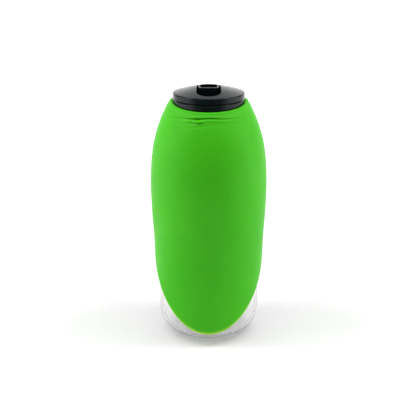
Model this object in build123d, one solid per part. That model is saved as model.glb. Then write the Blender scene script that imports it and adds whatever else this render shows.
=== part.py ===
from build123d import *
import math
import os

# Portable pet water bottle, in millimetres. The origin is on the bottle's axis, in the plane
# that it stands on; +Z is up, and the long side of the leaf faces -Y.

# ---- driving dimensions --------------------------------------------------------------------
# clear squeeze bottle
bottle_d = 70.0
bottle_wall = 1.6
base_corner_r = 17.0
base_ring_width = 4.5
push_up_height = 3.5
body_height = 130.0
shoulder_height = 25.0
neck_d = 39.6
neck_wall = 2.0
neck_height = 12.4
neck_bead_height = 0.8
neck_bead_depth = 0.5

# screw thread between neck and cap
thread_lead = 4.0
thread_start_angle = 40.0
thread_depth = 0.8
thread_root_width = 1.7
thread_crest_width = 0.9
thread_start_gap = 2.2
neck_thread_end_gap = 1.1
cap_thread_end_gap = 1.9
thread_clearance = 0.3
thread_root = 0.15

# black clamp ring, the lower tier of the closure
ring_wall = 1.8
ring_web = 1.5
ring_chamfer = 0.4
bead_clearance = 0.1
ledge_inset = 0.3

# black screw cap, the upper tier
skirt_wall = 1.3
skirt_end_gap = 0.4
ring_gap = 0.3
cap_overhang = 0.2
cap_tier_height = 4.0
cap_crown_rise = 4.0
cap_crown_flat_d = 16.0
cap_crown_bulge = 0.25
cap_lip_round = 1.0
cap_edge_chamfer = 0.3
cap_floor = 1.5
tier_groove = 0.4
gasket_height = 1.1
gasket_width = 2.6
gasket_inset = 0.1
seal_gap = 0.05

# pocket in the crown: room for the spout, and for a fingertip in front of it
pocket_side_gap = 1.3
pocket_front_margin = 3.6

# push-pull spout, a hollow block with rounded corners
spout_width = 13.8
spout_depth = 13.2
spout_corner = 3.2
spout_wall = 1.1
spout_rim_round = 0.4
spout_proud = 0.15
spout_plate = 2.0
spout_travel = 5.0
spout_stop_gap = 0.1
spout_flange_rim = 0.9
spout_flange_height = 1.4
slide_clearance = 0.15

# valve insert: the cage under the cap that carries the sealing post
boss_gap = 1.2
boss_height = 3.0
boss_wall = 1.5
insert_wall = 1.4
insert_plate = 1.5
insert_drop = 1.2
insert_port_d = 5.0
insert_port_count = 6
post_d = 5.2
post_tip_rise = 1.5
post_tip_chamfer = 0.6
post_clearance = 0.4
post_seal_height = 1.2
post_seal_groove = 0.5
seal_clearance = 0.05
seal_side_gap = 0.1

# soft silicone leaf
leaf_wall = 2.0
leaf_flange_height = 2.0
leaf_ring_gap = 0.35
leaf_crest_rise = 10.4
leaf_crest_reach = 1.85
leaf_belly_gap = 3.15
leaf_belly_drop = 22.0
leaf_waist_gap = 1.4
leaf_tip_gap = 0.4
leaf_tip_z = 9.3
leaf_back_drop = 20.0
leaf_shoulder_rise = 0.3
leaf_upper_lift = 3.5
crease_rise = 5.2
flap_edge_top_y = -18.0
flap_edge_rim_y = -1.0
flap_gap = 0.5
flap_wall_gap = 0.3

# ---- sizes that follow from them -----------------------------------------------------------
weld = 0.5
bottle_r = bottle_d / 2
body_top_z = body_height
ledge_z = body_top_z + shoulder_height
neck_r = neck_d / 2
neck_bore_r = neck_r - neck_wall
neck_top_z = ledge_z + neck_height
web_z = ledge_z + leaf_flange_height
bead_z = web_z + ring_web + bead_clearance
cap_base_z = neck_top_z + gasket_height + 2 * seal_gap

thread_z = web_z + ring_web + thread_start_gap
cap_thread_z = thread_z + thread_lead / 2
neck_thread_turns = (neck_top_z - neck_thread_end_gap - thread_z) / thread_lead
cap_thread_turns = (cap_base_z - cap_thread_end_gap - cap_thread_z) / thread_lead

skirt_bore_r = neck_r + thread_depth + thread_clearance
skirt_r = skirt_bore_r + skirt_wall
ring_r = skirt_r + ring_gap + ring_wall
ledge_r = ring_r - ledge_inset
ring_top_z = cap_base_z - tier_groove
cap_r = ring_r + cap_overhang
lip_z = cap_base_z + cap_tier_height
crown_z = lip_z + cap_crown_rise

pocket_r = spout_width / 2 + pocket_side_gap
pocket_reach = cap_r - pocket_front_margin - pocket_r
pocket_z = cap_base_z + cap_floor
spout_top_z = crown_z + spout_proud
spout_flange_z = cap_base_z - spout_travel - spout_stop_gap - spout_flange_height
spout_hole_r = post_d / 2 + post_clearance

gasket_in_r = neck_bore_r - gasket_inset
insert_r = gasket_in_r - boss_gap - boss_wall
insert_z = spout_flange_z - insert_plate - insert_drop
insert_port_pcd = post_d / 2 + insert_r - insert_wall
post_top_z = spout_flange_z + spout_plate + post_tip_rise
post_seal_z = spout_flange_z + (spout_plate - post_seal_height) / 2

leaf_wall_r = ring_r + leaf_ring_gap
leaf_crest_z = ledge_z + leaf_crest_rise
leaf_crest_r = leaf_wall_r + leaf_crest_reach
leaf_belly_r = bottle_r + leaf_belly_gap + leaf_wall
leaf_belly_z = body_top_z - leaf_belly_drop
leaf_waist_r = bottle_r + leaf_waist_gap + leaf_wall
leaf_waist_z = (leaf_belly_z + leaf_tip_z) / 2
leaf_tip_r = bottle_r + leaf_tip_gap + leaf_wall
leaf_back_z = body_top_z - leaf_back_drop
leaf_rim_slope = (leaf_back_z - leaf_tip_z) / (2 * leaf_tip_r)
leaf_rim_side_z = (leaf_back_z + leaf_tip_z) / 2
crease_z = ledge_z + crease_rise


def revolved(outline):
    """A solid of revolution about Z from a closed outline of (radius, height) lines."""
    return revolve(Plane.XZ * make_face(outline), Axis.Z)


def tube(outer_r, inner_r, low_z, high_z):
    """A plain ring between two radii and two heights."""
    height = high_z - low_z
    ring = Cylinder(outer_r, height) - Cylinder(inner_r, height + 2)
    return Pos(0, 0, (low_z + high_z) / 2) * ring


def rounded_block(width, depth, corner, low_z, high_z):
    """An upright block with a rounded rectangular section, centred on the axis."""
    section = RectangleRounded(width, depth, corner)
    return Pos(0, 0, low_z) * extrude(section, high_z - low_z)


def thread_ridge(surface_r, outward, start_z, turns):
    """A helical ridge standing on a cylinder, outwards for the neck and inwards for the cap."""
    side = 1 if outward else -1
    path = Helix(thread_lead, thread_lead * turns, surface_r)
    half_root = thread_root_width / 2
    half_crest = thread_crest_width / 2
    section = Polyline(
        (surface_r - side * thread_root, 0, -half_root),
        (surface_r + side * thread_depth, 0, -half_crest),
        (surface_r + side * thread_depth, 0, half_crest),
        (surface_r - side * thread_root, 0, half_root),
        close=True,
    )
    ridge = sweep(make_face(section), path, is_frenet=True)
    return Pos(0, 0, start_z) * Rot(0, 0, thread_start_angle) * ridge


def push_up_arc(edge_r, edge_z):
    """Arc of the domed middle of the base, from the axis out to its edge."""
    sphere_r = (edge_r**2 + push_up_height**2) / (2 * push_up_height)
    centre_z = edge_z + push_up_height - sphere_r
    half_turn = math.asin(edge_r / sphere_r) / 2
    middle = (sphere_r * math.sin(half_turn), centre_z + sphere_r * math.cos(half_turn))
    return ThreePointArc((0, edge_z + push_up_height), middle, (edge_r, edge_z))


def make_bottle():
    """Thin-walled bottle with a pushed-up base, a ledge for the leaf and a threaded neck."""
    inner_r = bottle_r - bottle_wall
    corner_in = base_corner_r - bottle_wall
    flat_r = bottle_r - base_corner_r
    dome_r = flat_r - base_ring_width
    outer_drop = bottle_r - ledge_r
    shoulder_r = (shoulder_height**2 + outer_drop**2) / (2 * outer_drop)
    half_turn = math.asin(shoulder_height / shoulder_r) / 2
    shoulder_mid = (
        bottle_r - shoulder_r * (1 - math.cos(half_turn)),
        body_top_z + shoulder_r * math.sin(half_turn),
    )
    inner_shoulder_mid = (
        inner_r - shoulder_r * (1 - math.cos(half_turn)),
        shoulder_mid[1] - bottle_wall / 2,
    )
    inner_ledge_z = ledge_z - bottle_wall
    corner_mid = base_corner_r * (1 - math.cos(math.pi / 4))
    corner_in_mid = corner_in * (1 - math.cos(math.pi / 4))
    outline = [
        push_up_arc(dome_r, 0),
        Line((dome_r, 0), (flat_r, 0)),
        ThreePointArc((flat_r, 0), (bottle_r - corner_mid, corner_mid), (bottle_r, base_corner_r)),
        Line((bottle_r, base_corner_r), (bottle_r, body_top_z)),
        ThreePointArc((bottle_r, body_top_z), shoulder_mid, (ledge_r, ledge_z)),
        Line((ledge_r, ledge_z), (neck_r, ledge_z)),
        Line((neck_r, ledge_z), (neck_r, neck_top_z)),
        Line((neck_r, neck_top_z), (neck_bore_r, neck_top_z)),
        Line((neck_bore_r, neck_top_z), (neck_bore_r, inner_ledge_z)),
        Line((neck_bore_r, inner_ledge_z), (ledge_r - bottle_wall, inner_ledge_z)),
        ThreePointArc(
            (ledge_r - bottle_wall, inner_ledge_z), inner_shoulder_mid, (inner_r, body_top_z)
        ),
        Line((inner_r, body_top_z), (inner_r, base_corner_r)),
        ThreePointArc(
            (inner_r, base_corner_r),
            (inner_r - corner_in_mid, bottle_wall + corner_in_mid),
            (flat_r, bottle_wall),
        ),
        Line((flat_r, bottle_wall), (dome_r, bottle_wall)),
        push_up_arc(dome_r, bottle_wall),
        Line((0, push_up_height + bottle_wall), (0, push_up_height)),
    ]
    bottle = revolved(outline)
    bottle += tube(neck_r + neck_bead_depth, neck_bore_r + weld, bead_z, bead_z + neck_bead_height)
    bottle += thread_ridge(neck_r, True, thread_z, neck_thread_turns)
    return bottle


def make_clamp_ring():
    """Ring that clips over the neck bead and holds the leaf's flange down on the ledge."""
    wall = tube(ring_r, ring_r - ring_wall, web_z, ring_top_z)
    wall = chamfer(wall.edges().group_by(Axis.Z)[-1].sort_by(SortBy.RADIUS)[-1], ring_chamfer)
    web = tube(ring_r - ring_wall / 2, neck_r + seal_clearance, web_z, web_z + ring_web)
    return wall + web


def make_pocket():
    """Stadium-shaped pocket: round about the spout at the back, reaching forwards."""
    height = 2 * (crown_z - pocket_z)
    back = Cylinder(pocket_r, height)
    front = Pos(0, -pocket_reach, 0) * Cylinder(pocket_r, height)
    middle = Pos(0, -pocket_reach / 2, 0) * Box(2 * pocket_r, pocket_reach, height)
    return Pos(0, 0, crown_z) * (back + front + middle)


def make_crown():
    """Solid of the cap above the neck: an upright edge and a low, slightly bulging dome."""
    flat_r = cap_crown_flat_d / 2
    bulge_mid = ((flat_r + cap_r) / 2, (crown_z + lip_z) / 2 + cap_crown_bulge)
    outline = [
        Line((0, cap_base_z), (cap_r, cap_base_z)),
        Line((cap_r, cap_base_z), (cap_r, lip_z)),
        ThreePointArc((cap_r, lip_z), bulge_mid, (flat_r, crown_z)),
        Line((flat_r, crown_z), (0, crown_z)),
        Line((0, crown_z), (0, cap_base_z)),
    ]
    section = make_face(outline)
    section = fillet(section.vertices().group_by(Axis.X)[-1].sort_by(Axis.Y)[-1], cap_lip_round)
    section = chamfer(section.vertices().group_by(Axis.X)[-1].sort_by(Axis.Y)[0], cap_edge_chamfer)
    return revolve(Plane.XZ * section, Axis.Z)


def make_screw_cap():
    """Low domed cap with a finger pocket, a threaded skirt and a boss for the valve insert."""
    spout_way = rounded_block(
        spout_width + 2 * slide_clearance,
        spout_depth + 2 * slide_clearance,
        spout_corner + slide_clearance,
        cap_base_z - weld,
        crown_z + weld,
    )
    crown = make_crown() - make_pocket() - spout_way
    skirt_low_z = web_z + ring_web + skirt_end_gap
    skirt = tube(skirt_r, skirt_bore_r, skirt_low_z, cap_base_z + weld)
    boss = tube(insert_r + boss_wall, insert_r, cap_base_z - boss_height, cap_base_z + weld)
    # the cap's ridge lies half a lead above the neck's, in the middle of its groove
    ridge = thread_ridge(skirt_bore_r, False, cap_thread_z, cap_thread_turns)
    return crown + skirt + boss + ridge


def make_cap_gasket():
    """Flat liner ring between the neck's lip and the underside of the cap."""
    low_z = neck_top_z + seal_gap
    return tube(gasket_in_r + gasket_width, gasket_in_r, low_z, low_z + gasket_height)


def make_spout():
    """Hollow block open at the top, with a holed plate and a stop flange at its foot."""
    body = rounded_block(spout_width, spout_depth, spout_corner, spout_flange_z, spout_top_z)
    body = fillet(body.edges().group_by(Axis.Z)[-1], spout_rim_round)
    flange = rounded_block(
        spout_width + 2 * spout_flange_rim,
        spout_depth + 2 * spout_flange_rim,
        spout_corner + spout_flange_rim,
        spout_flange_z,
        spout_flange_z + spout_flange_height,
    )
    hollow = rounded_block(
        spout_width - 2 * spout_wall,
        spout_depth - 2 * spout_wall,
        spout_corner - spout_wall,
        spout_flange_z + spout_plate,
        spout_top_z + weld,
    )
    hole = Pos(0, 0, spout_flange_z) * Cylinder(spout_hole_r, 4 * spout_plate)
    return body + flange - hollow - hole


def make_valve_insert():
    """Cage pressed into the cap's boss, with water ports and the post that shuts the spout."""
    cage = tube(insert_r, insert_r - insert_wall, insert_z, cap_base_z)
    plate = Cylinder(insert_r - insert_wall / 2, insert_plate)
    for spot in PolarLocations(insert_port_pcd / 2, insert_port_count):
        plate -= spot * Cylinder(insert_port_d / 2, 3 * insert_plate)
    plate = Pos(0, 0, insert_z + insert_plate / 2) * plate
    post_height = post_top_z - insert_z
    post = Pos(0, 0, insert_z + post_height / 2) * Cylinder(post_d / 2, post_height)
    post = chamfer(post.edges().group_by(Axis.Z)[-1], post_tip_chamfer)
    post -= tube(post_d, post_d / 2 - post_seal_groove, post_seal_z, post_seal_z + post_seal_height)
    return cage + plate + post


def make_post_seal():
    """Rubber ring in the post's groove that wipes the hole in the spout's plate."""
    inner_r = post_d / 2 - post_seal_groove + seal_clearance
    low_z = post_seal_z + seal_side_gap
    high_z = post_seal_z + post_seal_height - seal_side_gap
    return tube(spout_hole_r - seal_clearance, inner_r, low_z, high_z)


def hood_curve(inset):
    """Points of the hood's side, from its crest to its waist, at a depth in the silicone."""
    top_r = leaf_crest_r + leaf_wall / 2
    spread = leaf_belly_r - top_r
    upper_z = (leaf_belly_z + leaf_crest_z) / 2 + leaf_upper_lift
    slant = 0.2 * inset
    return [
        (top_r - 0.65 * inset, leaf_crest_z - leaf_wall / 2 - 1.1 * inset),
        (top_r + 0.4 * spread - 1.2 * inset, ledge_z + leaf_shoulder_rise - slant),
        (top_r + 0.77 * spread - 1.04 * inset, upper_z - slant),
        (leaf_belly_r - inset, leaf_belly_z),
        (leaf_waist_r - inset, leaf_waist_z),
    ]


def leaf_hood():
    """The whole silicone moulding: clamped flange, rolled crest and hood, cut off at its rim."""
    flange_in_r = neck_r + neck_bead_depth
    wall_top_z = leaf_crest_z - 0.7 * leaf_wall
    tip_end_z = leaf_tip_z - 3 * leaf_wall
    outer_points = hood_curve(0)
    inner_points = hood_curve(leaf_wall)
    run_out = (leaf_tip_r - leaf_waist_r, tip_end_z - leaf_waist_z)
    from_crest = (1.0, -1.0)
    outer_tip = (leaf_tip_r, tip_end_z)
    inner_tip = (leaf_tip_r - leaf_wall, tip_end_z)
    crest_mid = (leaf_crest_r - leaf_wall / 10, leaf_crest_z)
    outline = [
        Line((flange_in_r, ledge_z), (leaf_wall_r + leaf_wall, ledge_z)),
        Line((leaf_wall_r + leaf_wall, ledge_z), inner_points[0]),
        Spline(*inner_points, tangents=[from_crest, run_out]),
        Line(inner_points[-1], inner_tip),
        Line(inner_tip, outer_tip),
        Line(outer_tip, outer_points[-1]),
        Spline(*outer_points, tangents=[from_crest, run_out]),
        ThreePointArc(outer_points[0], crest_mid, (leaf_wall_r, wall_top_z)),
        Line((leaf_wall_r, wall_top_z), (leaf_wall_r, web_z)),
        Line((leaf_wall_r, web_z), (flange_in_r, web_z)),
        Line((flange_in_r, web_z), (flange_in_r, ledge_z)),
    ]
    return revolved(outline) - below_rim_plane()


def below_rim_plane():
    """Everything under the slanted plane that holds the leaf's rim."""
    size = 4 * leaf_back_z
    tilt = math.degrees(math.atan(leaf_rim_slope))
    block = Pos(0, 0, -size / 2) * Box(size, size, size)
    return Pos(0, 0, leaf_rim_side_z) * Rot(tilt, 0, 0) * block


def flap_region(gap):
    """Space in front of the flap's side edges and under the crease, grown by a gap."""
    size = 2 * leaf_back_z
    edge_lean = (flap_edge_rim_y - flap_edge_top_y) / (crease_z - leaf_rim_side_z)
    low_z = leaf_tip_z - size / 2
    top_y = flap_edge_top_y + gap
    low_y = top_y + edge_lean * (crease_z - low_z)
    top_z = crease_z + gap
    outline = Polyline((-size, low_z), (low_y, low_z), (top_y, top_z), (-size, top_z), close=True)
    region = extrude(make_face(Plane.YZ * outline), size / 2, both=True)
    wall_clear_r = leaf_wall_r + leaf_wall + flap_wall_gap + flap_gap - gap
    rolled_wall = Cylinder(wall_clear_r, 4 * leaf_crest_rise)
    return region - Pos(0, 0, ledge_z) * rolled_wall


def make_leaf():
    """The moulding in two nodes, because it bends along the crease and the flap's edges."""
    hood = leaf_hood()
    collar = hood - flap_region(flap_gap)
    flap = hood & flap_region(0)
    return collar, flap


def main():
    os.makedirs("parts", exist_ok=True)
    collar, flap = make_leaf()
    nodes = {
        "bottle": make_bottle(),
        "leaf_collar": collar,
        "leaf_flap": flap,
        "clamp_ring": make_clamp_ring(),
        "screw_cap": make_screw_cap(),
        "cap_gasket": make_cap_gasket(),
        "spout": make_spout(),
        "valve_insert": make_valve_insert(),
        "post_seal": make_post_seal(),
    }
    for name, shape in nodes.items():
        export_step(shape, f"parts/{name}.step")


main()
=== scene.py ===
import math

import bmesh
import bpy
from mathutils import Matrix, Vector


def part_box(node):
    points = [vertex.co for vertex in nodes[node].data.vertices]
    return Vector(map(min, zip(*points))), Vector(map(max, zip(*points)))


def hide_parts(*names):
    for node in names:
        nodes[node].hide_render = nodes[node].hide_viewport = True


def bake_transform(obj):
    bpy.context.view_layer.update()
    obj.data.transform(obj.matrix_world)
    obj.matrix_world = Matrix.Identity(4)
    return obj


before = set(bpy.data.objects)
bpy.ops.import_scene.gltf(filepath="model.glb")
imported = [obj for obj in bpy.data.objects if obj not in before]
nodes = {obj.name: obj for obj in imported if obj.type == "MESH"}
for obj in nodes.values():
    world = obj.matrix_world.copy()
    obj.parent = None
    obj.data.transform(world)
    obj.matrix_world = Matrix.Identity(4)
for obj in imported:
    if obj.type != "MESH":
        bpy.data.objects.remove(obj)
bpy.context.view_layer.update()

MM = 0.001
TURN = 2 * math.pi

# ---- places taken from the CAD frame -------------------------------------------------------
ring_low, ring_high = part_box("clamp_ring")
RING_R = ring_high.x


# ---- node helpers --------------------------------------------------------------------------
def new_material(name):
    """A node material with its Principled shader."""
    material = bpy.data.materials.new(name)
    material.use_nodes = True
    tree = material.node_tree
    shader = tree.nodes["Principled BSDF"]
    return material, tree, shader


def add_node(tree, kind, **values):
    """A shader node with its sockets and settings filled in."""
    node = tree.nodes.new(kind)
    for key, value in values.items():
        if hasattr(node, key):
            setattr(node, key, value)
        else:
            node.inputs[key.replace("_", " ")].default_value = value
    return node


def object_space(tree):
    """Coordinates that stay with the piece, in metres."""
    return add_node(tree, "ShaderNodeTexCoord").outputs["Object"]


def colour_steps(tree, factor, stops):
    """A colour ramp from (position, colour) stops."""
    ramp = add_node(tree, "ShaderNodeValToRGB")
    ramp.color_ramp.elements[0].position = stops[0][0]
    ramp.color_ramp.elements[0].color = stops[0][1]
    ramp.color_ramp.elements[1].position = stops[-1][0]
    ramp.color_ramp.elements[1].color = stops[-1][1]
    for position, colour in stops[1:-1]:
        ramp.color_ramp.elements.new(position).color = colour
    tree.links.new(factor, ramp.inputs["Fac"])
    return ramp.outputs["Color"]


def mottle(tree, scale, detail=3.0):
    """Soft noise in the piece's own space."""
    noise = add_node(tree, "ShaderNodeTexNoise", Scale=scale, Detail=detail)
    tree.links.new(object_space(tree), noise.inputs["Vector"])
    return noise.outputs["Fac"]


def add_bump(tree, shader, height, strength, distance):
    """Surface relief from a height signal."""
    bump = add_node(tree, "ShaderNodeBump", Strength=strength, Distance=distance)
    tree.links.new(height, bump.inputs["Height"])
    tree.links.new(bump.outputs["Normal"], shader.inputs["Normal"])


def range_map(tree, signal, from_low, from_high, low, high):
    """A signal between two levels spread over low to high."""
    node = add_node(tree, "ShaderNodeMapRange")
    node.inputs["From Min"].default_value = from_low
    node.inputs["From Max"].default_value = from_high
    node.inputs["To Min"].default_value = low
    node.inputs["To Max"].default_value = high
    tree.links.new(signal, node.inputs["Value"])
    return node.outputs["Result"]


def noise_roughness(tree, shader, scale, low, high):
    """Roughness that drifts a little over the surface."""
    rough = range_map(tree, mottle(tree, scale), 0.3, 0.7, low, high)
    tree.links.new(rough, shader.inputs["Roughness"])


# ---- materials -----------------------------------------------------------------------------
GREENS = [(0.35, (0.052, 0.475, 0.004, 1)), (0.65, (0.066, 0.515, 0.007, 1))]
# painted light: a paler green at the leaf's thin rim, a painted glow of light shining through
# the edge
RIM_GLOW_GREEN = (0.42, 0.72, 0.04, 1)
SATIN = (0.46, 0.56)
BUCKLE_ROUGHNESS = 0.16
CLEAR_TONES = [(0.3, (0.955, 0.950, 0.960, 1)), (0.7, (0.970, 0.967, 0.974, 1))]
CLEAR_EDGE = (0.22, 0.20, 0.24, 1)
EDGE_FACING = (0.74, 0.96)
RUBBER_TONES = [(0.35, (0.60, 0.60, 0.57, 1)), (0.65, (0.68, 0.68, 0.65, 1))]
CLOSURE_BLACK = (0.003, 0.007, 0.008)
# painted light: a touch lighter than the cap's black, standing in for light on the spout's unlit
# corners
SPOUT_PAINTED_LIGHT_BLACK = (0.005, 0.009, 0.010)
INSERT_BLACK = (0.02, 0.02, 0.022)


def silicone_material():
    """Soft green silicone: satin, faintly cloudy and translucent, with a paler green painted
    along its thin rim, a painted glow of light shining through the edge.
    """
    material, tree, shader = new_material("green_silicone")
    body = colour_steps(tree, mottle(tree, 22.0), GREENS)
    # painted light: the rim weight mixes in the paler green, a painted glow along the thin edge
    rim = add_node(tree, "ShaderNodeAttribute", attribute_name="rim")
    mix = add_node(tree, "ShaderNodeMix", data_type="RGBA")
    tree.links.new(rim.outputs["Fac"], mix.inputs["Factor"])
    tree.links.new(body, mix.inputs[6])
    mix.inputs[7].default_value = RIM_GLOW_GREEN
    tree.links.new(mix.outputs[2], shader.inputs["Base Color"])
    satin = range_map(tree, mottle(tree, 60.0), 0.3, 0.7, *SATIN)
    shine = add_node(tree, "ShaderNodeAttribute", attribute_name="shine")
    gloss = add_node(tree, "ShaderNodeMix", data_type="FLOAT")
    tree.links.new(shine.outputs["Fac"], gloss.inputs["Factor"])
    tree.links.new(satin, gloss.inputs[2])
    gloss.inputs[3].default_value = BUCKLE_ROUGHNESS
    tree.links.new(gloss.outputs[0], shader.inputs["Roughness"])
    shader.inputs["IOR"].default_value = 1.41
    shader.inputs["Subsurface Weight"].default_value = 0.55
    shader.inputs["Subsurface Radius"].default_value = (0.5, 1.0, 0.25)
    shader.inputs["Subsurface Scale"].default_value = 0.004
    shader.inputs["Specular IOR Level"].default_value = 0.24
    add_bump(tree, shader, mottle(tree, 900.0, 2.0), 0.06, 0.0002)
    return material


def black_material(name, base, roughness):
    """Moulded black plastic with a slightly uneven satin gloss."""
    material, tree, shader = new_material(name)
    darker = tuple(channel * 0.8 for channel in base) + (1,)
    colour = colour_steps(tree, mottle(tree, 90.0), [(0.35, darker), (0.65, base + (1,))])
    tree.links.new(colour, shader.inputs["Base Color"])
    noise_roughness(tree, shader, 250.0, roughness - 0.02, roughness + 0.02)
    shader.inputs["IOR"].default_value = 1.5
    shader.inputs["Specular IOR Level"].default_value = 0.22
    add_bump(tree, shader, mottle(tree, 1500.0, 2.0), 0.03, 0.0001)
    return material


def clear_material():
    """Thin clear plastic: nearly invisible face on, grey where its wall is seen edge on."""
    material, tree, shader = new_material("clear_plastic")
    face_on = colour_steps(tree, mottle(tree, 12.0), CLEAR_TONES)
    facing = add_node(tree, "ShaderNodeLayerWeight", Blend=0.5).outputs["Facing"]
    edge = range_map(tree, facing, *EDGE_FACING, 0.0, 1.0)
    mix = add_node(tree, "ShaderNodeMix", data_type="RGBA")
    tree.links.new(edge, mix.inputs["Factor"])
    tree.links.new(face_on, mix.inputs[6])
    mix.inputs[7].default_value = CLEAR_EDGE
    tree.links.new(mix.outputs[2], shader.inputs["Base Color"])
    shader.inputs["Transmission Weight"].default_value = 1.0
    noise_roughness(tree, shader, 40.0, 0.0, 0.03)
    shader.inputs["IOR"].default_value = 1.25
    add_bump(tree, shader, mottle(tree, 30.0, 1.0), 0.01, 0.0005)
    return material


def rubber_material():
    """Pale silicone of the liner and the post's seal."""
    material, tree, shader = new_material("gasket_rubber")
    colour = colour_steps(tree, mottle(tree, 200.0), RUBBER_TONES)
    tree.links.new(colour, shader.inputs["Base Color"])
    shader.inputs["Roughness"].default_value = 0.6
    add_bump(tree, shader, mottle(tree, 1200.0, 2.0), 0.05, 0.0001)
    return material


# ---- the silicone leaf ---------------------------------------------------------------------
WALL = 2.0 * MM
RING_CLEARANCE = 0.08 * MM
WALL_R = RING_R + RING_CLEARANCE
FLANGE_HEIGHT = 2.0 * MM
FLANGE_REACH = 4.2 * MM
FLANGE_GAP = 0.05 * MM
FLANGE_TOP_Z = ring_low.z
FLANGE_Z = FLANGE_TOP_Z - FLANGE_HEIGHT
FRONT_CREST_Z = 163.9 * MM
CREST_CLIMB = 3.1 * MM
CREST_CLIMB_LIMIT = 1.12
SIDE_CREST_Z = FRONT_CREST_Z + CREST_CLIMB
ROLL_R = 1.0 * MM
ROLL_DROP = 1.1
INNER_DROP = 1.6 * MM
RIM_BACK_Z = 110.0 * MM
RIM_TIP_Z = 9.3 * MM
RIM_TIP_R = 37.4 * MM
# heights above the rim over which the painted rim glow fades in
RIM_GLOW_FROM = 2.2 * MM
RIM_GLOW_FULL = 0.4 * MM
AROUND = 288
FINE_ROWS = 64
COARSE_ROWS = 96
FINE_DEPTH = 14 * MM

# how far the crease's own sideways scale runs past the ring's radius
CREASE_SPREAD = 1.25
# buckles by the crease: height, place and width sideways, place and width below it, in mm
BUCKLES = [
    (-0.9, -7.6, 2.8, 0.1, 0.6),
    (1.35, -6.6, 2.3, 1.20, 0.55),
    (0.55, -14.5, 2.0, 1.3, 0.7),
    (-0.40, -7.5, 4.0, 2.3, 0.55),
]

# height and outer radius down the hood's side, in mm
HOOD = [
    (165.9, 27.0), (163.6, 28.6), (159.5, 30.5), (155.3, 32.5), (151.0, 34.1), (146.9, 35.5),
    (140.5, 37.2), (134.2, 38.4), (123.5, 39.6), (106.0, 40.15), (86.0, 39.55), (73.0, 38.8),
    (59.0, 38.3), (40.0, 37.9), (22.0, 37.5), (4.0, 37.3),
]


def smoothstep(low, high, value):
    """0 at low, 1 at high, level at both."""
    t = min(max((value - low) / (high - low), 0.0), 1.0)
    return t * t * (3 - 2 * t)


def hood_radius(z):
    """Smooth interpolation of the hood's outline, in metres."""
    points = [(height * MM, radius * MM) for height, radius in reversed(HOOD)]
    if z >= points[-1][0]:
        return points[-1][1]
    index = max(i for i in range(len(points) - 1) if points[i][0] <= max(z, points[0][0]))
    z0, r0 = points[index]
    z1, r1 = points[index + 1]
    before = points[max(index - 1, 0)]
    after = points[min(index + 2, len(points) - 1)]
    m0 = (r1 - before[1]) / (z1 - before[0])
    m1 = (after[1] - r0) / (after[0] - z0)
    h = z1 - z0
    t = (z - z0) / h
    return (
        (2 * t**3 - 3 * t**2 + 1) * r0 + (t**3 - 2 * t**2 + t) * h * m0
        + (-2 * t**3 + 3 * t**2) * r1 + (t**3 - t**2) * h * m1
    )


def crest_z(angle):
    """Height of the rolled crest: it dips at the front, where the leaf is folded down."""
    return FRONT_CREST_Z + CREST_CLIMB * min(1 - math.cos(angle), CREST_CLIMB_LIMIT)


def rim_z(angle, radius):
    """Height of the slanted plane of the rim."""
    middle = (RIM_BACK_Z + RIM_TIP_Z) / 2
    return middle - radius * math.cos(angle) * (RIM_BACK_Z - RIM_TIP_Z) / (2 * RIM_TIP_R)


def bell(value, width):
    """A smooth hump of height 1 at zero."""
    return math.exp(-((value / width) ** 2))


def crease_relief(angle, z):
    """How far the surface moves in or out at the crease and its small buckles."""
    if math.cos(angle) < 0:
        return 0.0
    x = RING_R * CREASE_SPREAD * math.sin(angle) / MM
    line_z = (160.2 - 0.0026 * x * x + 0.16 * math.sin(0.3 * x + 1.0)) * MM
    drop = (line_z - z) / MM
    reach = math.exp(-((x + 1.0) / 21.0) ** 4)
    middle = 0.35 + 0.65 * bell(x + 1.0, 9.5)
    cut = -1.7 * math.exp(-abs(drop / 0.38) ** 1.4) * reach * middle
    lip = 0.38 * bell(drop - 0.95, 0.75) * reach * middle
    over = 0.20 * bell(drop + 1.0, 0.9) * reach * middle
    buckles = sum(
        height * bell(x - across, width) * bell(drop - below, depth)
        for height, across, width, below, depth in BUCKLES
    )
    ripple_reach = bell(x + 7.0, 9.0) * bell(drop - 4.2, 1.8)
    ripples = 0.12 * math.cos(2.2 * (drop + 0.08 * x)) * ripple_reach
    return (cut + lip + over + buckles + ripples) * MM


def hood_point(angle, z, inset):
    """A point of the hood's surface, inset from its outer face."""
    shift = (SIDE_CREST_Z - crest_z(angle)) * smoothstep(120 * MM, 164 * MM, z)
    radius = hood_radius(z + shift) - inset
    radius += crease_relief(angle, z) * (1.0 if inset == 0 else 0.7)
    wave = 0.22 * MM * math.sin(2 * angle + z / (24 * MM)) * smoothstep(30 * MM, 90 * MM, z)
    radius += wave * smoothstep(160 * MM, 140 * MM, z)
    return Vector((radius * math.sin(angle), -radius * math.cos(angle), z))


def wall_point(angle, radius, z):
    return Vector((radius * math.sin(angle), -radius * math.cos(angle), z))


def hood_rows(top, low):
    """Heights down the hood: close together round the crease, wider below."""
    rows = [top - FINE_DEPTH * step / FINE_ROWS for step in range(FINE_ROWS)]
    start = top - FINE_DEPTH
    rows += [start + (low - start) * step / COARSE_ROWS for step in range(COARSE_ROWS + 1)]
    return rows


def crease_shine(angle, z):
    """Where the stretched skin of the buckle is smoother and shinier."""
    x = RING_R * CREASE_SPREAD * math.sin(angle) / MM
    drop = (160.0 * MM - z) / MM
    return bell(x + 8.0, 5.5) * bell(drop - 1.2, 1.6) if math.cos(angle) > 0 else 0.0


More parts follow.
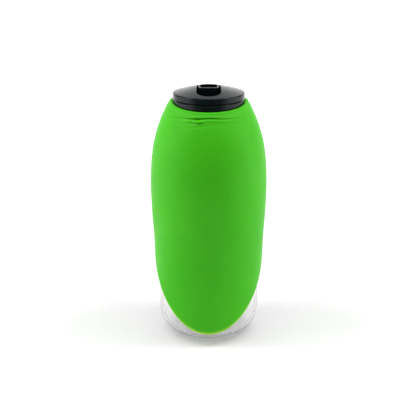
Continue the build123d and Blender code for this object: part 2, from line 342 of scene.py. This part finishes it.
def leaf_section(angle):
    """Closed section of the moulding at one angle, with the weight of the painted rim glow at
    each point.
    """
    top = crest_z(angle)
    outer_start = top - ROLL_R * ROLL_DROP
    tip_radius = hood_radius(rim_z(angle, RIM_TIP_R))
    low = rim_z(angle, tip_radius)
    rows = hood_rows(outer_start, low + WALL / 2)
    section = []
    for z in rows:
        section.append((hood_point(angle, z, 0.0), smoothstep(RIM_GLOW_FROM, RIM_GLOW_FULL, z - low)))
    for step in range(1, 6):
        swing = math.pi * step / 6
        inset = WALL / 2 * (1 - math.cos(swing))
        z = low + WALL / 2 * (1 - math.sin(swing))
        section.append((hood_point(angle, z, inset), 1.0))
    inner_top_z = outer_start - INNER_DROP
    for z in reversed(hood_rows(inner_top_z, low + WALL / 2)[::2]):
        section.append((hood_point(angle, z, WALL), smoothstep(RIM_GLOW_FROM, RIM_GLOW_FULL, z - low)))
    for step in range(1, 9):
        z = inner_top_z + (FLANGE_Z + 0.4 * MM - inner_top_z) * step / 8
        section.append((wall_point(angle, WALL_R + WALL, z), 0.0))
    section.append((wall_point(angle, WALL_R + WALL - 0.5 * MM, FLANGE_Z), 0.0))
    section.append((wall_point(angle, WALL_R - 2.0 * MM, FLANGE_Z), 0.0))
    section.append((wall_point(angle, WALL_R - FLANGE_REACH, FLANGE_Z), 0.0))
    section.append((wall_point(angle, WALL_R - FLANGE_REACH, FLANGE_TOP_Z - FLANGE_GAP), 0.0))
    section.append((wall_point(angle, WALL_R - 1.0 * MM, FLANGE_TOP_Z - FLANGE_GAP), 0.0))
    section.append((wall_point(angle, WALL_R, FLANGE_TOP_Z + 0.3 * MM), 0.0))
    roll_low = top - ROLL_R
    for step in range(1, 7):
        z = FLANGE_TOP_Z + 0.3 * MM + (roll_low - FLANGE_TOP_Z - 0.3 * MM) * step / 6
        section.append((wall_point(angle, WALL_R, z), 0.0))
    start = hood_point(angle, outer_start, 0.0)
    end_r = math.hypot(start.x, start.y)
    for step in range(1, 10):
        swing = math.pi * step / 10
        share = (1 - math.cos(swing)) / 2
        radius = WALL_R + (end_r - WALL_R) * share
        base = roll_low + (outer_start - roll_low) * share
        section.append((wall_point(angle, radius, base + ROLL_R * math.sin(swing) ** 0.55), 0.0))
    return section


def make_leaf():
    """The leaf as one continuous skin, all the way round its section and the bottle."""
    mesh = bpy.data.meshes.new("silicone_leaf")
    shape = bmesh.new()
    # weight of the painted rim glow at each point
    rim_glow_layer = shape.verts.layers.float.new("rim")
    shine_layer = shape.verts.layers.float.new("shine")
    rings = []
    for column in range(AROUND):
        angle = TURN * column / AROUND
        ring = []
        for point, rim in leaf_section(angle):
            vert = shape.verts.new(point)
            vert[rim_glow_layer] = rim
            vert[shine_layer] = crease_shine(angle, point.z)
            ring.append(vert)
        rings.append(ring)
    count = len(rings[0])
    for column in range(AROUND):
        here = rings[column]
        there = rings[(column + 1) % AROUND]
        for row in range(count):
            below = (row + 1) % count
            face = shape.faces.new((here[row], here[below], there[below], there[row]))
            face.smooth = True
    bmesh.ops.recalc_face_normals(shape, faces=shape.faces)
    shape.to_mesh(mesh)
    shape.free()
    leaf = bpy.data.objects.new("silicone_leaf", mesh)
    bpy.context.scene.collection.objects.link(leaf)
    return leaf


leaf = make_leaf()
leaf.data.materials.append(silicone_material())
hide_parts("leaf_collar", "leaf_flap")
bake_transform(leaf)


# ---- finishes on the CAD nodes -------------------------------------------------------------
SHARP_EDGE = math.radians(32)


def finish_node(name, material):
    """A carried-over CAD node with its own material, shaded smooth up to its edges."""
    node = nodes[name]
    node.data.materials.clear()
    node.data.materials.append(material)
    for face in node.data.polygons:
        face.use_smooth = True
    edges = node.modifiers.new("edges", "EDGE_SPLIT")
    edges.split_angle = SHARP_EDGE
    return node


finish_node("bottle", clear_material())
finish_node("clamp_ring", black_material("black_ring", CLOSURE_BLACK, 0.17))
finish_node("screw_cap", black_material("black_cap", CLOSURE_BLACK, 0.17))
finish_node("spout", black_material("black_spout", SPOUT_PAINTED_LIGHT_BLACK, 0.24))
finish_node("valve_insert", black_material("insert_plastic", INSERT_BLACK, 0.5))
seal_rubber = rubber_material()
finish_node("cap_gasket", seal_rubber)
finish_node("post_seal", seal_rubber)


# ---- stage, light and camera ---------------------------------------------------------------
FLOOR_TONES = [(0.3, (0.66, 0.66, 0.66, 1)), (0.7, (0.68, 0.68, 0.68, 1))]
WORLD_SEEN = 1.0
WORLD_FILL = 0.10

# name, place, point it faces, width and height in metres, power in watts
LIGHTS = [
    ("side_left", (-0.95, -0.10, 0.45), (0, 0, 0.10), (0.8, 1.0), 5.8),
    ("side_right", (0.95, -0.05, 0.42), (0, 0, 0.10), (0.8, 1.0), 5.2),
    ("top", (0, -0.20, 1.20), (0, 0, 0.10), (1.2, 0.9), 8.5),
    ("glint_left", (-0.55, -0.02, 0.88), (0, 0, 0.17), (0.16, 0.34), 2.0),
    ("glint_right", (0.50, -0.02, 0.90), (0, 0, 0.17), (0.16, 0.34), 2.0),
]

CAMERA_DISTANCE = 0.700
CAMERA_ELEVATION = math.radians(17.88)
CAMERA_AIM = Vector((-0.0005, 0, 0.0899))
SENSOR_WIDTH = 36.0
FOCAL_PIXELS = 994.5
PICTURE_PIXELS = 416


def make_floor():
    """A pale sweep of floor, long curve and back wall, with painted light: it glows more away
    from the bottle and less near it, a painted shadow round the base.
    """
    half = 1.6
    front = -0.55
    depth = 1.3
    bend = 0.5
    wall_top = 2.2
    profile = [(front, 0.0), (depth - bend, 0.0)]
    for step in range(1, 13):
        swing = math.pi / 2 * step / 12
        profile.append((depth - bend + bend * math.sin(swing), bend - bend * math.cos(swing)))
    profile.append((depth, wall_top))
    mesh = bpy.data.meshes.new("floor")
    verts = [(side, y, z) for y, z in profile for side in (-half, half)]
    faces = [(2 * i, 2 * i + 1, 2 * i + 3, 2 * i + 2) for i in range(len(profile) - 1)]
    mesh.from_pydata(verts, [], faces)
    for face in mesh.polygons:
        face.use_smooth = True
    floor = bpy.data.objects.new("floor", mesh)
    bpy.context.scene.collection.objects.link(floor)
    material, tree, shader = new_material("pale_floor")
    grain = colour_steps(tree, mottle(tree, 4.0), FLOOR_TONES)
    tree.links.new(grain, shader.inputs["Base Color"])
    shader.inputs["Emission Color"].default_value = (1, 1, 1, 1)
    # painted light: emission grows with distance from the bottle, leaving a painted shadow round
    # its base
    reach = add_node(tree, "ShaderNodeVectorMath", operation="LENGTH")
    tree.links.new(object_space(tree), reach.inputs[0])
    painted_floor_glow = range_map(tree, reach.outputs["Value"], 0.10, 0.90, 0.22, 0.78)
    tree.links.new(painted_floor_glow, shader.inputs["Emission Strength"])
    shader.inputs["Roughness"].default_value = 0.9
    shader.inputs["Specular IOR Level"].default_value = 0.1
    mesh.materials.append(material)


def add_light(name, place, aim, size, power):
    """A rectangular softbox that faces a point."""
    data = bpy.data.lights.new(name, "AREA")
    data.shape = "RECTANGLE"
    data.size, data.size_y = size
    data.energy = power
    light = bpy.data.objects.new(name, data)
    light.location = place
    light.rotation_euler = (Vector(aim) - Vector(place)).to_track_quat("-Z", "Y").to_euler()
    bpy.context.scene.collection.objects.link(light)


def set_world(seen, fill):
    """White surroundings to look at, which light the object only faintly."""
    world = bpy.data.worlds.new("studio")
    world.use_nodes = True
    tree = world.node_tree
    backdrop = tree.nodes["Background"]
    backdrop.inputs["Color"].default_value = (1, 1, 1, 1)
    backdrop.inputs["Strength"].default_value = seen
    dim = add_node(tree, "ShaderNodeBackground", Strength=fill)
    path = add_node(tree, "ShaderNodeLightPath")
    mix = add_node(tree, "ShaderNodeMixShader")
    tree.links.new(path.outputs["Is Camera Ray"], mix.inputs[0])
    tree.links.new(dim.outputs["Background"], mix.inputs[1])
    tree.links.new(backdrop.outputs["Background"], mix.inputs[2])
    tree.links.new(mix.outputs["Shader"], tree.nodes["World Output"].inputs["Surface"])
    bpy.context.scene.world = world


def set_colour():
    """Plain sRGB output, as in a product picture."""
    bpy.context.scene.view_settings.view_transform = "Standard"


def set_camera():
    """Long lens, a little above the object, straight at its front."""
    data = bpy.data.cameras.new("camera")
    data.sensor_width = SENSOR_WIDTH
    data.lens = FOCAL_PIXELS / PICTURE_PIXELS * SENSOR_WIDTH
    camera = bpy.data.objects.new("camera", data)
    back = Vector((0, -math.cos(CAMERA_ELEVATION), math.sin(CAMERA_ELEVATION)))
    camera.location = CAMERA_AIM + CAMERA_DISTANCE * back
    camera.rotation_euler = (math.pi / 2 - CAMERA_ELEVATION, 0, 0)
    bpy.context.scene.collection.objects.link(camera)
    bpy.context.scene.camera = camera


make_floor()
set_world(WORLD_SEEN, WORLD_FILL)
for light in LIGHTS:
    add_light(*light)
set_camera()
set_colour()
